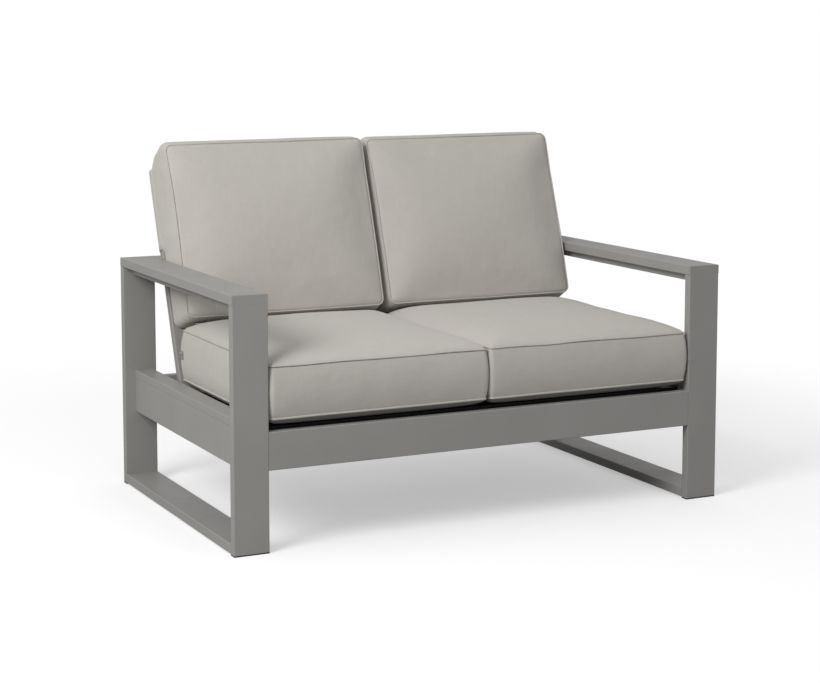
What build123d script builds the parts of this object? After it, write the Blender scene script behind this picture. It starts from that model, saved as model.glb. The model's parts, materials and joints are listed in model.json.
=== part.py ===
from build123d import *
from math import cos, radians, sin, tan
import os

# Patio loveseat. X runs to the right seen from the front, Y to the back, Z up.
# The origin is on the floor under the middle of the frame. Sizes are in millimetres.

os.makedirs("parts", exist_ok=True)

# Overall sizes of the frame
overall_width = 1370
overall_depth = 850
arm_height = 624

# Aluminium tube, common to all members
tube_wall = 2
tube_corner = 2

# Flat tube of the arms, legs and bottom rails
flat_width = 90
flat_thickness = 24
end_plate_thickness = 2

# Plastic glide in the foot of each leg
glide_flange = 3
glide_plug_height = 15
glide_wall = 2
glide_clearance = 0.2

# Bar under each arm
under_bar_width = 40
under_bar_height = 20

# Seat rails
rail_bottom = 200
rail_height = 93
rail_thickness = 24
side_rail_width = 50
side_rail_setback = 30
side_cap_height = 22

# Seat deck
beam_width = 50
beam_height = 50
beam_front = 190
slat_width = 50
slat_height = 20
slat_count = 6
centre_bar_width = 40
centre_bar_height = 40

# Tilted back frames, one behind each seat
back_tilt = 20.93
post_foot = 198.1
post_width = 40
post_depth = 24
back_length = 610
back_frame_gap = 12
top_rail_height = 40
top_plug_flange = 2
top_plug_depth = 12
top_plug_clearance = 0.2
back_slat_height = 40
back_slat_depth = 20
back_slat_count = 4

# Crossbar between the arms behind the back frames
crossbar_depth = 72

# Brackets and plates
bracket_thickness = 3
bracket_leg = 45
bracket_height = 55
bracket_base = 215
bracket_bolt_reach = 29
bracket_bolt_margin = 15
beam_bracket_width = 40
beam_bracket_drop = 40
beam_bolt_reach = 26
beam_bolt_margin = 10
plate_width = 40
plate_front_gap = 5
plate_reach_out = 23
plate_reach_in = 40
plate_screw_margin = 10

# Bolts, rivet nuts and screws
bolt_diameter = 6
bolt_length = 14
bolt_head_diameter = 10.5
bolt_head_height = 3.3
bolt_socket = 4
bolt_socket_depth = 2
bolt_head_round = 1
bolt_hole_diameter = 6.6
nut_diameter = 9
nut_bore = 6.2
nut_length = 13
nut_bulge_diameter = 12
nut_bulge_height = 3
nut_hole_diameter = 9.2
screw_diameter = 4
screw_length = 12
screw_head_diameter = 8
screw_head_height = 2.4
screw_head_round = 0.8
screw_hole_diameter = 4.4

# Fabric, piping and foam
cover_thickness = 2
soft_clearance = 0.3
piping_diameter = 5
piping_clearance = 0.4

# Seat cushions, measured at the piping
seat_width = 580
seat_depth = 622
seat_gap = 12
seat_front_setback = 7
seat_seam_rise = 29
seat_boxing_height = 126
seat_boxing_bulge = 6
seat_corner = 8
seat_crown = 43

# Back cushions, measured at the piping in the plane of the back frame
back_width = 572
back_height = 474
back_gap = 22
back_bottom = 170
back_seam_distance = 100
back_seam_lean = 1.5
back_boxing_bulge = 6
back_rear_flare = 8
back_rear_round = 12
back_corner = 10
back_crown = 30

# A crown climbs steeply at its seam and levels out towards its middle
crown_rise_shares = (0, 0.53, 0.91, 1)
crown_inset_shares = (0, 0.05, 0.18, 0.36)
crown_corner_share = 0.2
rear_rise_shares = (0, 0.3, 1)
rear_inset_shares = (1, 0.3, 0)

# Hood of each back cushion, a pocket that hangs over the top of its back frame
hood_length = 221
hood_wall = 3
hood_corner = 3.5

# Zips
tape_height = 22
tape_thickness = 1
tape_gap = 0.15
tape_side_wrap = 38
tape_end_inset = 30
slider_length = 12
slider_height = 10
slider_thickness = 4
slider_round = 1.2
pull_length = 32
pull_width = 7
pull_thickness = 1.4

# Cuts run this far past the face that they open
overrun = 5

sides = ((-1, "left"), (1, "right"))
ends = ((-1, "front"), (1, "rear"))

# Places that follow from the sizes
half_width = overall_width / 2
half_depth = overall_depth / 2
leg_inner_x = half_width - flat_width
leg_middle_x = half_width - flat_width / 2
leg_middle_y = half_depth - flat_thickness / 2
leg_inner_y = half_depth - flat_thickness
arm_underside = arm_height - flat_thickness
side_rail_middle_x = half_width - side_rail_setback - side_rail_width / 2
side_rail_inner_x = side_rail_middle_x - side_rail_width / 2
deck_top = rail_bottom + rail_height
rail_middle_z = rail_bottom + rail_height / 2
beam_bottom = deck_top - beam_height
crossbar_front = half_depth - crossbar_depth
post_outer_x = leg_inner_x - post_width / 2
post_inner_x = back_frame_gap / 2 + post_width / 2
post_middles = (("outer", post_outer_x), ("inner", post_inner_x))
post_length = back_length - top_rail_height
back_frame_middle = (leg_inner_x + back_frame_gap / 2) / 2
back_frame_width = leg_inner_x - back_frame_gap / 2
tilt = radians(back_tilt)

# The back plane lies on the fronts of the posts: its y axis climbs the slope from the deck
# and its z axis points forwards. The slope plane looks up the slope, its y axis backwards.
back_plane = Plane(
    origin=(0, post_foot, deck_top),
    x_dir=(1, 0, 0),
    z_dir=(0, -cos(tilt), sin(tilt)),
)
slope_plane = Plane(origin=back_plane.origin, x_dir=(1, 0, 0), z_dir=back_plane.y_dir)


def save(piece, name):
    # Labels one finished piece and writes it under that name
    piece.label = name
    export_step(piece, f"parts/{name}.step")


def tube_section(across, up):
    # Outline of a rectangular tube with its bore, added to the current sketch
    RectangleRounded(across, up, tube_corner)
    Rectangle(across - 2 * tube_wall, up - 2 * tube_wall, mode=Mode.SUBTRACT)


# Arms, each a flat tube over the legs
arm_reach = half_depth - end_plate_thickness
plate_screw_x = (
    leg_inner_x + plate_reach_out - plate_screw_margin,
    leg_inner_x - plate_reach_in + plate_screw_margin,
)
plate_front = crossbar_front + plate_front_gap
plate_screw_y = (plate_front + plate_screw_margin, plate_front + plate_width - plate_screw_margin)


def plate_seats(side, places):
    # Faces that the screws of one crossbar plate go up through, looking down
    return [
        Plane(origin=(side * x, y, arm_underside), z_dir=(0, 0, -1))
        for x in places
        for y in plate_screw_y
    ]


for side, side_name in sides:
    with BuildPart() as arm:
        with BuildSketch(Plane.XZ):
            with Locations((side * leg_middle_x, arm_height - flat_thickness / 2)):
                tube_section(flat_width, flat_thickness)
        extrude(amount=arm_reach, both=True)
        with Locations(*plate_seats(side, plate_screw_x[:1])):
            Hole(radius=screw_hole_diameter / 2, depth=tube_wall)
    save(arm.part, f"{side_name}_arm")

with BuildPart() as arm_end_plates:
    for end, end_name in ends:
        with BuildSketch(Plane.XZ.offset(-end * arm_reach)):
            with GridLocations(2 * leg_middle_x, 0, 2, 1):
                with Locations((0, arm_height - flat_thickness / 2)):
                    RectangleRounded(flat_width, flat_thickness, tube_corner)
        extrude(amount=-end * end_plate_thickness)
save(arm_end_plates.part, "arm_end_plates")

for side, side_name in sides:
    with BuildPart() as under_arm_bar:
        with BuildSketch(Plane.XZ):
            with Locations((side * leg_middle_x, arm_underside - under_bar_height / 2)):
                tube_section(under_bar_width, under_bar_height)
        extrude(amount=leg_inner_y, both=True)
    save(under_arm_bar.part, f"{side_name}_under_arm_bar")

# Legs and the bottom rails between them
for side, side_name in sides:
    for end, end_name in ends:
        with BuildPart() as leg:
            with BuildSketch(Plane.XY.offset(glide_flange)):
                with Locations((side * leg_middle_x, end * leg_middle_y)):
                    tube_section(flat_width, flat_thickness)
            extrude(amount=arm_underside - glide_flange)
        save(leg.part, f"{side_name}_{end_name}_leg")

    with BuildPart() as bottom_rail:
        with BuildSketch(Plane.XZ):
            with Locations((side * leg_middle_x, glide_flange + flat_thickness / 2)):
                tube_section(flat_width, flat_thickness)
        extrude(amount=leg_inner_y, both=True)
    save(bottom_rail.part, f"{side_name}_bottom_rail")

# Glides: a flange under each leg, and a cup-shaped plug inside its tube
plug_trim = 2 * (tube_wall + glide_clearance)
plug_width = flat_width - plug_trim
plug_thickness = flat_thickness - plug_trim
with BuildPart() as leg_glides:
    with BuildSketch():
        with GridLocations(2 * leg_middle_x, 2 * leg_middle_y, 2, 2):
            RectangleRounded(flat_width, flat_thickness, tube_corner)
    extrude(amount=glide_flange)
    with BuildSketch(Plane.XY.offset(glide_flange)):
        with GridLocations(2 * leg_middle_x, 2 * leg_middle_y, 2, 2):
            Rectangle(plug_width, plug_thickness)
            Rectangle(plug_width - 2 * glide_wall, plug_thickness - 2 * glide_wall, mode=Mode.SUBTRACT)
    extrude(amount=glide_plug_height)
save(leg_glides.part, "leg_glides")

# Seats of the bracket bolts: planes on the faces that the brackets lie against, looking
# away from the member that each bolt goes into
bolt_heights = (bracket_base + bracket_bolt_margin, bracket_base + bracket_height - bracket_bolt_margin)
beam_bolt_y = (
    beam_front + (beam_width - beam_bracket_width) / 2 + beam_bolt_margin,
    beam_front + (beam_width + beam_bracket_width) / 2 - beam_bolt_margin,
)


def corner_side_seats(side, end):
    # On the inner face of a side rail
    y = end * (leg_inner_y - bracket_bolt_reach)
    return [Plane(origin=(side * side_rail_inner_x, y, z), z_dir=(-side, 0, 0)) for z in bolt_heights]


def corner_end_seats(side, end):
    # On the inner face of the front or rear rail
    x = side * (side_rail_inner_x - bracket_bolt_reach)
    return [Plane(origin=(x, end * leg_inner_y, z), z_dir=(0, -end, 0)) for z in bolt_heights]


def beam_side_seats(side):
    # On the inner face of a side rail, under the seat beam
    z = beam_bottom - beam_bolt_reach
    return [Plane(origin=(side * side_rail_inner_x, y, z), z_dir=(-side, 0, 0)) for y in beam_bolt_y]


def beam_under_seats(side):
    # On the underside of the seat beam
    x = side * (side_rail_inner_x - beam_bolt_reach)
    return [Plane(origin=(x, y, beam_bottom), z_dir=(0, 0, -1)) for y in beam_bolt_y]


# Side rails with their caps, and the front and rear rails
for side, side_name in sides:
    rail_seats = beam_side_seats(side) + corner_side_seats(side, -1) + corner_side_seats(side, 1)
    with BuildPart() as side_rail:
        with BuildSketch(Plane.XZ):
            with Locations((side * side_rail_middle_x, rail_middle_z)):
                tube_section(side_rail_width, rail_height)
        extrude(amount=leg_inner_y, both=True)
        with Locations(*rail_seats):
            Hole(radius=nut_hole_diameter / 2, depth=tube_wall)
    save(side_rail.part, f"{side_name}_side_rail")

    with BuildPart() as side_cap:
        with BuildSketch(Plane.XZ):
            with Locations((side * side_rail_middle_x, deck_top + side_cap_height / 2)):
                tube_section(side_rail_width, side_cap_height)
        extrude(amount=leg_inner_y, both=True)
    save(side_cap.part, f"{side_name}_side_cap")

for end, end_name in ends:
    with BuildPart() as end_rail:
        with BuildSketch(Plane.YZ):
            with Locations((end * (half_depth - rail_thickness / 2), rail_middle_z)):
                tube_section(rail_thickness, rail_height)
        extrude(amount=leg_inner_x, both=True)
        with Locations(*corner_end_seats(-1, end), *corner_end_seats(1, end)):
            Hole(radius=nut_hole_diameter / 2, depth=tube_wall)
    save(end_rail.part, f"{end_name}_rail")

# Seat beam, which carries the slats and the feet of the back posts
with BuildPart() as seat_beam:
    with BuildSketch(Plane.YZ):
        with Locations((beam_front + beam_width / 2, deck_top - beam_height / 2)):
            tube_section(beam_width, beam_height)
    extrude(amount=side_rail_inner_x, both=True)
    with Locations(*beam_under_seats(-1), *beam_under_seats(1)):
        Hole(radius=nut_hole_diameter / 2, depth=tube_wall)
save(seat_beam.part, "seat_beam")

# Slats from side rail to side rail, evenly spaced between the front rail and the beam
deck_depth = leg_inner_y + beam_front
deck_middle_y = (beam_front - leg_inner_y) / 2
slat_gap = (deck_depth - slat_count * slat_width) / (slat_count + 1)
with BuildPart() as seat_slats:
    with BuildSketch(Plane.YZ):
        with Locations((deck_middle_y, deck_top - slat_height / 2)):
            with GridLocations(slat_width + slat_gap, 0, slat_count, 1):
                tube_section(slat_width, slat_height)
    extrude(amount=side_rail_inner_x, both=True)
save(seat_slats.part, "seat_slats")

# Bar under the middle of the slats, from the front rail to the beam
with BuildPart() as centre_bar:
    with BuildSketch(Plane.XZ.offset(-deck_middle_y)):
        with Locations((0, deck_top - slat_height - centre_bar_height / 2)):
            tube_section(centre_bar_width, centre_bar_height)
    extrude(amount=deck_depth / 2, both=True)
save(centre_bar.part, "centre_bar")

# Back frames: posts cut level at the foot, top rail over them, slats between them
for side, side_name in sides:
    for place_name, middle in post_middles:
        with BuildPart() as back_post:
            with BuildSketch(slope_plane.offset(-post_depth)):
                with Locations((side * middle, post_depth / 2)):
                    tube_section(post_width, post_depth)
            extrude(amount=post_depth + post_length)
            split(bisect_by=Plane.XY.offset(deck_top), keep=Keep.TOP)
        save(back_post.part, f"{side_name}_{place_name}_back_post")

    rail_middle = back_plane.offset(-post_depth / 2)
    top_rail_plane = Plane(
        origin=rail_middle.from_local_coords((side * back_frame_middle, back_length - top_rail_height / 2, 0)),
        x_dir=back_plane.y_dir,
        z_dir=(1, 0, 0),
    )
    with BuildPart() as top_rail:
        with BuildSketch(top_rail_plane):
            tube_section(top_rail_height, post_depth)
        extrude(amount=back_frame_width / 2 - top_plug_flange, both=True)
    save(top_rail.part, f"{side_name}_back_top_rail")

    back_slat_pitch = post_length / (back_slat_count + 1)
    back_slat_reach = (post_outer_x - post_inner_x - post_width) / 2
    with BuildPart() as back_slats:
        for number in range(back_slat_count):
            slat_middle = (side * back_frame_middle, (number + 1) * back_slat_pitch, -back_slat_depth / 2)
            slat_plane = Plane(
                origin=back_plane.from_local_coords(slat_middle),
                x_dir=back_plane.y_dir,
                z_dir=(1, 0, 0),
            )
            with BuildSketch(slat_plane):
                tube_section(back_slat_height, back_slat_depth)
            extrude(amount=back_slat_reach, both=True)
    save(back_slats.part, f"{side_name}_back_slats")

# Plugs that close the ends of the top rails
top_plug_trim = 2 * (tube_wall + top_plug_clearance)
with BuildPart() as top_rail_plugs:
    for side, side_name in sides:
        for end, end_name in ends:
            plug_face = (
                side * back_frame_middle + end * (back_frame_width / 2 - top_plug_flange),
                back_length - top_rail_height / 2,
                -post_depth / 2,
            )
            plug_plane = Plane(
                origin=back_plane.from_local_coords(plug_face),
                x_dir=back_plane.y_dir,
                z_dir=(end, 0, 0),
            )
            with BuildSketch(plug_plane):
                RectangleRounded(top_rail_height, post_depth, tube_corner)
            extrude(amount=top_plug_flange)
            with BuildSketch(plug_plane):
                Rectangle(top_rail_height - top_plug_trim, post_depth - top_plug_trim)
            extrude(amount=-top_plug_depth)
save(top_rail_plugs.part, "top_rail_plugs")

# Rear crossbar at arm height, and the wedges between it and the tilted posts
with BuildPart() as rear_crossbar:
    with BuildSketch(Plane.YZ):
        with Locations((half_depth - crossbar_depth / 2, arm_height - flat_thickness / 2)):
            tube_section(crossbar_depth, flat_thickness)
    extrude(amount=leg_inner_x, both=True)
    with Locations(*plate_seats(-1, plate_screw_x[1:]), *plate_seats(1, plate_screw_x[1:])):
        Hole(radius=screw_hole_diameter / 2, depth=tube_wall)
save(rear_crossbar.part, "rear_crossbar")


def post_rear(z):
    # How far back the rear face of the posts lies at a height
    return post_foot + post_depth / cos(tilt) + (z - deck_top) * tan(tilt)


with BuildPart() as post_wedges:
    for side, side_name in sides:
        for place_name, middle in post_middles:
            with BuildSketch(Plane.YZ.offset(side * middle)):
                Polygon(
                    (crossbar_front, arm_underside + tube_corner),
                    (crossbar_front, arm_height - tube_corner),
                    (post_rear(arm_height - tube_corner), arm_height - tube_corner),
                    (post_rear(arm_underside + tube_corner), arm_underside + tube_corner),
                    align=None,
                )
            extrude(amount=post_width / 2 - tube_corner, both=True)
save(post_wedges.part, "post_wedges")

# Corner brackets in the four corners of the seat rails
with BuildPart() as corner_brackets:
    for side, side_name in sides:
        for end, end_name in ends:
            corner = Plane(
                origin=(side * side_rail_inner_x, end * leg_inner_y, bracket_base),
                x_dir=(-side, 0, 0),
                z_dir=(0, 0, side * end),
            )
            with BuildSketch(corner):
                Rectangle(bracket_leg, bracket_thickness, align=(Align.MIN, Align.MIN))
                Rectangle(bracket_thickness, bracket_leg, align=(Align.MIN, Align.MIN))
            extrude(amount=side * end * bracket_height)
            seats = corner_side_seats(side, end) + corner_end_seats(side, end)
            with Locations(*[seat.offset(bracket_thickness) for seat in seats]):
                Hole(radius=bolt_hole_diameter / 2, depth=bracket_thickness)
save(corner_brackets.part, "corner_brackets")

# Brackets under the ends of the seat beam
with BuildPart() as beam_brackets:
    for side, side_name in sides:
        bracket_plane = Plane(
            origin=(side * side_rail_inner_x, beam_front + beam_width / 2, beam_bottom),
            x_dir=(-side, 0, 0),
            z_dir=(0, side, 0),
        )
        with BuildSketch(bracket_plane):
            Rectangle(bracket_leg, bracket_thickness, align=(Align.MIN, Align.MAX))
            Rectangle(bracket_thickness, beam_bracket_drop, align=(Align.MIN, Align.MAX))
        extrude(amount=beam_bracket_width / 2, both=True)
        seats = beam_side_seats(side) + beam_under_seats(side)
        with Locations(*[seat.offset(bracket_thickness) for seat in seats]):
            Hole(radius=bolt_hole_diameter / 2, depth=bracket_thickness)
save(beam_brackets.part, "beam_brackets")

# Plates that tie the crossbar to the undersides of the arms
with BuildPart() as crossbar_plates:
    for side, side_name in sides:
        plate_corner = (side * (leg_inner_x + plate_reach_out), plate_front, arm_underside)
        with BuildSketch(Plane(origin=plate_corner, x_dir=(-side, 0, 0), z_dir=(0, 0, -1))):
            Rectangle(
                plate_reach_out + plate_reach_in,
                plate_width,
                align=(Align.MIN, Align.MIN if side > 0 else Align.MAX),
            )
        extrude(amount=bracket_thickness)
        with Locations(*[seat.offset(bracket_thickness) for seat in plate_seats(side, plate_screw_x)]):
            Hole(radius=screw_hole_diameter / 2, depth=bracket_thickness)
save(crossbar_plates.part, "crossbar_plates")

# All seats of the bolts and of the plate screws
bolt_seats = [
    seat
    for side, side_name in sides
    for seat in (
        corner_side_seats(side, -1)
        + corner_side_seats(side, 1)
        + corner_end_seats(side, -1)
        + corner_end_seats(side, 1)
        + beam_side_seats(side)
        + beam_under_seats(side)
    )
]
screw_seats = plate_seats(-1, plate_screw_x) + plate_seats(1, plate_screw_x)
head_on_seat = (Align.CENTER, Align.CENTER, Align.MIN)
shank_from_seat = (Align.CENTER, Align.CENTER, Align.MAX)

# One button-head bolt in each bracket hole
with BuildPart() as bolt:
    Cylinder(bolt_head_diameter / 2, bolt_head_height, align=head_on_seat)
    fillet(bolt.edges().group_by(Axis.Z)[-1], bolt_head_round)
    Cylinder(bolt_diameter / 2, bolt_length, align=shank_from_seat)
    with BuildSketch(Plane.XY.offset(bolt_head_height)):
        RegularPolygon(bolt_socket / 2, 6, major_radius=False)
    extrude(amount=-bolt_socket_depth, mode=Mode.SUBTRACT)
with BuildPart() as bracket_bolts:
    with Locations(*[seat.offset(bracket_thickness) for seat in bolt_seats]):
        add(bolt.part)
save(bracket_bolts.part, "bracket_bolts")

# One rivet nut in each tube wall behind a bolt
with BuildPart() as rivet_nut:
    Cylinder(nut_diameter / 2, nut_length, align=shank_from_seat)
    with Locations((0, 0, -tube_wall)):
        Cylinder(nut_bulge_diameter / 2, nut_bulge_height, align=shank_from_seat)
    Hole(radius=nut_bore / 2)
with BuildPart() as rivet_nuts:
    with Locations(*bolt_seats):
        add(rivet_nut.part)
save(rivet_nuts.part, "rivet_nuts")

# Pan-head screws of the crossbar plates
with BuildPart() as screw:
    Cylinder(screw_head_diameter / 2, screw_head_height, align=head_on_seat)
    fillet(screw.edges().group_by(Axis.Z)[-1], screw_head_round)
    Cylinder(screw_diameter / 2, screw_length, align=shank_from_seat)
with BuildPart() as plate_screws:
    with Locations(*[seat.offset(bracket_thickness) for seat in screw_seats]):
        add(screw.part)
save(plate_screws.part, "plate_screws")

# Cushions. Their sections are rounded rectangles, each a plane with its width, height
# and corner radius; an inset gives the cavity of the cover and the foam inside it.
piping_radius = piping_diameter / 2
seam_inset = piping_radius + piping_clearance
foam_inset = cover_thickness + soft_clearance


def rounded_loft(sections, mode=Mode.ADD):
    # One loft through rounded rectangles, added to the current part
    outlines = []
    for plane, width, height, corner in sections:
        with BuildSketch(plane) as outline:
            RectangleRounded(width, height, corner)
        outlines.append(outline.sketch)
    loft(outlines, mode=mode)


def section(plane, width, height, corner, shrink):
    # A rounded rectangle that is drawn in by the same amount on every side
    return plane, width - 2 * shrink, height - 2 * shrink, corner


def crown_sections(plane, width, height, corner, crown, inset):
    # A crown over a seam plane, from the seam to its level middle
    sections = []
    for rise_share, inset_share in zip(crown_rise_shares, crown_inset_shares):
        drawn_in = inset_share * min(width, height)
        sections.append(
            section(
                plane.offset(rise_share * (crown - inset)),
                width,
                height,
                corner + crown_corner_share * drawn_in,
                seam_inset + inset + drawn_in,
            )
        )
    return sections


def piping_ring(plane, width, height, corner):
    # A cord round a rounded rectangle, added to the current part
    with BuildSketch(plane) as outline:
        RectangleRounded(width, height, corner)
    route = outline.sketch.face().outer_wire()
    with BuildSketch(Plane(origin=route @ 0, z_dir=route % 0)) as cord:
        Circle(piping_radius)
    sweep(cord.sketch, path=route)


def zip_slider(plane, side):
    # A slider with its pull, on a plane whose z axis points away from the tape and whose
    # x axis points to the right; the pull lies towards the outer end of the tape
    with BuildSketch(plane) as body:
        Rectangle(slider_length, slider_height)
    extrude(body.sketch, amount=slider_thickness)
    fillet(edges(Select.LAST), slider_round)
    pull_middle = side * (slider_length / 2 + pull_length / 2 - slider_round)
    with BuildSketch(plane.offset((slider_thickness - pull_thickness) / 2)) as pull:
        with Locations((pull_middle, 0)):
            RectangleRounded(pull_length, pull_width, pull_width / 2 - slider_round)
    extrude(pull.sketch, amount=pull_thickness)


# Seat cushions
seat_middle_x = (seat_gap + seat_width) / 2
seat_front = -half_depth + seat_front_setback
seat_middle_y = seat_front + seat_depth / 2
seat_lower_seam = deck_top + seat_seam_rise
seat_upper_seam = seat_lower_seam + seat_boxing_height
seat_zip_height = seat_lower_seam + seat_boxing_height / 2
seat_lower_crown = seat_seam_rise - soft_clearance


def seat_plane(side, z, up=1):
    # A level plane at the middle of one seat cushion
    return Plane(origin=(side * seat_middle_x, seat_middle_y, z), x_dir=(1, 0, 0), z_dir=(0, 0, up))


def seat_boxing(side, inset):
    # The band between the seams, which bulges outwards between them
    return [
        section(seat_plane(side, z), seat_width, seat_depth, seat_corner, shrink + inset)
        for z, shrink in (
            (seat_lower_seam, seam_inset),
            (seat_zip_height, -seat_boxing_bulge),
            (seat_upper_seam, seam_inset),
        )
    ]


def seat_lofts(side, inset, mode=Mode.ADD):
    # The whole cushion: band, lower crown and upper crown
    rounded_loft(seat_boxing(side, inset), mode)
    upper = seat_plane(side, seat_upper_seam)
    lower = seat_plane(side, seat_lower_seam, up=-1)
    rounded_loft(crown_sections(upper, seat_width, seat_depth, seat_corner, seat_crown, inset), mode)
    rounded_loft(crown_sections(lower, seat_width, seat_depth, seat_corner, seat_lower_crown, inset), mode)


for side, side_name in sides:
    with BuildPart() as seat_cover:
        seat_lofts(side, 0)
        seat_lofts(side, cover_thickness, Mode.SUBTRACT)
    save(seat_cover.part, f"{side_name}_seat_cover")

    with BuildPart() as seat_foam:
        seat_lofts(side, foam_inset)
    save(seat_foam.part, f"{side_name}_seat_foam")

    with BuildPart() as seat_piping:
        piping_ring(seat_plane(side, seat_lower_seam), seat_width, seat_depth, seat_corner)
        piping_ring(seat_plane(side, seat_upper_seam), seat_width, seat_depth, seat_corner)
    save(seat_piping.part, f"{side_name}_seat_piping")

    # The tape runs along the back of the cushion and round its outer corner
    tape_corner_x = side * (seat_width / 2 + seat_boxing_bulge + overrun)
    tape_corner_y = seat_depth / 2 + seat_boxing_bulge + overrun
    tape_reach = seat_width - tape_end_inset + seat_boxing_bulge + overrun
    tape_align = Align.MAX if side > 0 else Align.MIN
    with BuildPart() as seat_zip_tape:
        rounded_loft(seat_boxing(side, -tape_gap - tape_thickness))
        rounded_loft(seat_boxing(side, -tape_gap), Mode.SUBTRACT)
        with BuildSketch(seat_plane(side, seat_zip_height)):
            with Locations((tape_corner_x, tape_corner_y)):
                Rectangle(tape_reach, tape_side_wrap + overrun, align=(tape_align, Align.MAX))
        extrude(amount=tape_height / 2, both=True, mode=Mode.INTERSECT)
    save(seat_zip_tape.part, f"{side_name}_seat_zip_tape")

    # The pull ends level with the outer side of the cushion
    slider_reach = slider_length / 2 + pull_length - slider_round
    slider_x = side * (seat_width / 2 + seat_boxing_bulge - slider_reach)
    slider_y = seat_depth / 2 + seat_boxing_bulge + tape_gap + tape_thickness + soft_clearance
    with BuildPart() as seat_zip_slider:
        zip_slider(
            Plane(
                origin=seat_plane(side, seat_zip_height).from_local_coords((slider_x, slider_y, 0)),
                x_dir=(-1, 0, 0),
                z_dir=(0, 1, 0),
            ),
            -side,
        )
    save(seat_zip_slider.part, f"{side_name}_seat_zip_slider")

# Back cushions
back_middle_x = (back_gap + back_width) / 2
back_middle_y = back_bottom + back_height / 2
hood_front = soft_clearance + hood_wall
rear_edge = hood_front + back_rear_round
back_zip_distance = (rear_edge + back_seam_distance) / 2
lean = radians(back_seam_lean)
front_seam_normal = back_plane.z_dir * cos(lean) - back_plane.y_dir * sin(lean)

# The underside slopes from the rear flare to the seam, so the tape stands this much further
# out under the rear edge of the slider than under its middle
tape_slope = (back_rear_flare + seam_inset) / (back_seam_distance - rear_edge)
tape_rise = tape_slope * slider_height / 2


def back_section_plane(side, distance):
    # A plane at the middle of one back cushion, level with the posts' fronts
    origin = back_plane.from_local_coords((side * back_middle_x, back_middle_y, distance))
    return Plane(origin=origin, x_dir=(1, 0, 0), z_dir=back_plane.z_dir)


def front_seam_plane(side):
    # The plane of the front piping, which leans out a little at its top
    origin = back_section_plane(side, back_seam_distance).origin
    return Plane(origin=origin, x_dir=(1, 0, 0), z_dir=front_seam_normal)


def back_boxing(side, inset):
    # The band from the rear edge to the front seam
    return [
        section(plane, back_width, back_height, back_corner, shrink + inset)
        for plane, shrink in (
            (back_section_plane(side, rear_edge), -back_rear_flare),
            (back_section_plane(side, back_zip_distance), -back_boxing_bulge),
            (front_seam_plane(side), seam_inset),
        )
    ]


def back_lofts(side, inset, mode=Mode.ADD):
    # The whole cushion: band, rounded rear and front crown
    rounded_loft(back_boxing(side, inset), mode)
    rear = [
        section(
            back_section_plane(side, hood_front + inset + rise_share * (back_rear_round - inset)),
            back_width,
            back_height,
            back_corner,
            inset_share * back_rear_round - back_rear_flare + inset,
        )
        for rise_share, inset_share in zip(rear_rise_shares, rear_inset_shares)
    ]
    rounded_loft(rear, mode)
    front = front_seam_plane(side)
    rounded_loft(crown_sections(front, back_width, back_height, back_corner, back_crown, inset), mode)


for side, side_name in sides:
    with BuildPart() as back_cover:
        back_lofts(side, 0)
        back_lofts(side, cover_thickness, Mode.SUBTRACT)
    save(back_cover.part, f"{side_name}_back_cover")

    with BuildPart() as back_filling:
        back_lofts(side, foam_inset)
    save(back_filling.part, f"{side_name}_back_filling")

    with BuildPart() as back_piping:
        piping_ring(front_seam_plane(side), back_width, back_height, back_corner)
    save(back_piping.part, f"{side_name}_back_piping")

    # The hood hangs over the frame on all four sides and its top rests on the top rail
    pocket_width = back_frame_width + 2 * soft_clearance
    pocket_depth = post_depth + 2 * soft_clearance
    hood_plane = slope_plane.offset(back_length + soft_clearance)
    hood_middle = (side * back_frame_middle, post_depth / 2)
    with BuildPart() as back_hood:
        with BuildSketch(hood_plane.offset(hood_wall)):
            with Locations(hood_middle):
                RectangleRounded(pocket_width + 2 * hood_wall, pocket_depth + 2 * hood_wall, hood_corner)
        extrude(amount=-hood_length - hood_wall)
        with BuildSketch(hood_plane):
            with Locations(hood_middle):
                Rectangle(pocket_width, pocket_depth)
        extrude(amount=-hood_length, mode=Mode.SUBTRACT)
    save(back_hood.part, f"{side_name}_back_hood")

    # The tape runs along the underside of the cushion
    tape_side_y = -back_height / 2
    with BuildPart() as back_zip_tape:
        rounded_loft(back_boxing(side, -tape_gap - tape_thickness))
        rounded_loft(back_boxing(side, -tape_gap), Mode.SUBTRACT)
        with BuildSketch(back_section_plane(side, back_zip_distance)):
            with Locations((0, tape_side_y)):
                Rectangle(back_width - 2 * tape_end_inset, 2 * (back_rear_flare + overrun))
        extrude(amount=tape_height / 2, both=True, mode=Mode.INTERSECT)
    save(back_zip_tape.part, f"{side_name}_back_zip_tape")

    slider_x = side * (back_width / 2 - tape_end_inset - pull_length - slider_length / 2)
    slider_y = tape_side_y - back_boxing_bulge - tape_rise - tape_gap - tape_thickness - soft_clearance
    with BuildPart() as back_zip_slider:
        zip_slider(
            Plane(
                origin=back_section_plane(side, back_zip_distance).from_local_coords((slider_x, slider_y, 0)),
                x_dir=(1, 0, 0),
                z_dir=-back_plane.y_dir,
            ),
            side,
        )
    save(back_zip_slider.part, f"{side_name}_back_zip_slider")
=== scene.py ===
import json
import math

import bpy
import numpy as np
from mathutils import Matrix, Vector, noise

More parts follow.
